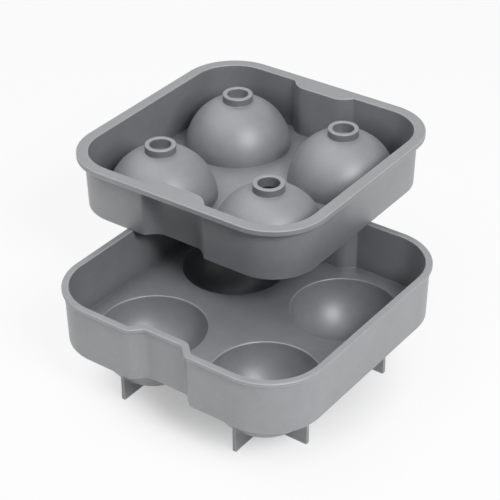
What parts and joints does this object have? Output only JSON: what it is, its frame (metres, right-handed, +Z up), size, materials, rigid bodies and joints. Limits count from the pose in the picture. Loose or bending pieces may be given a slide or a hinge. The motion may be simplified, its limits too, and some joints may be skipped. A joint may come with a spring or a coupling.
{
  "type": "ice ball mould",
  "caption": "Grey silicone ice ball mould: a square tray with round cups on cross feet, and a nesting lid with domes, fill spouts and finger notches.",
  "frame": {"origin": "on the surface that the mould stands on, under the middle of the base tray", "axes": "+Z up; the finger notches are in the front (-Y) and back (+Y) sides; +X to the right of the front"},
  "size_m": [0.1591, 0.1757, 0.0748],
  "materials": {
    "base_silicone": "satin grey moulded silicone",
    "lid_silicone": "satin grey moulded silicone"
  },
  "bodies": {
    "base": {"base_tray": "base_silicone"},
    "lid": {"lid": "lid_silicone"}
  },
  "joints": [
    {"name": "lid_lift", "type": "slide", "parent": "base", "child": "lid", "axis": [0, 0, 1], "range_m": [0, 0.08]}
  ]
}
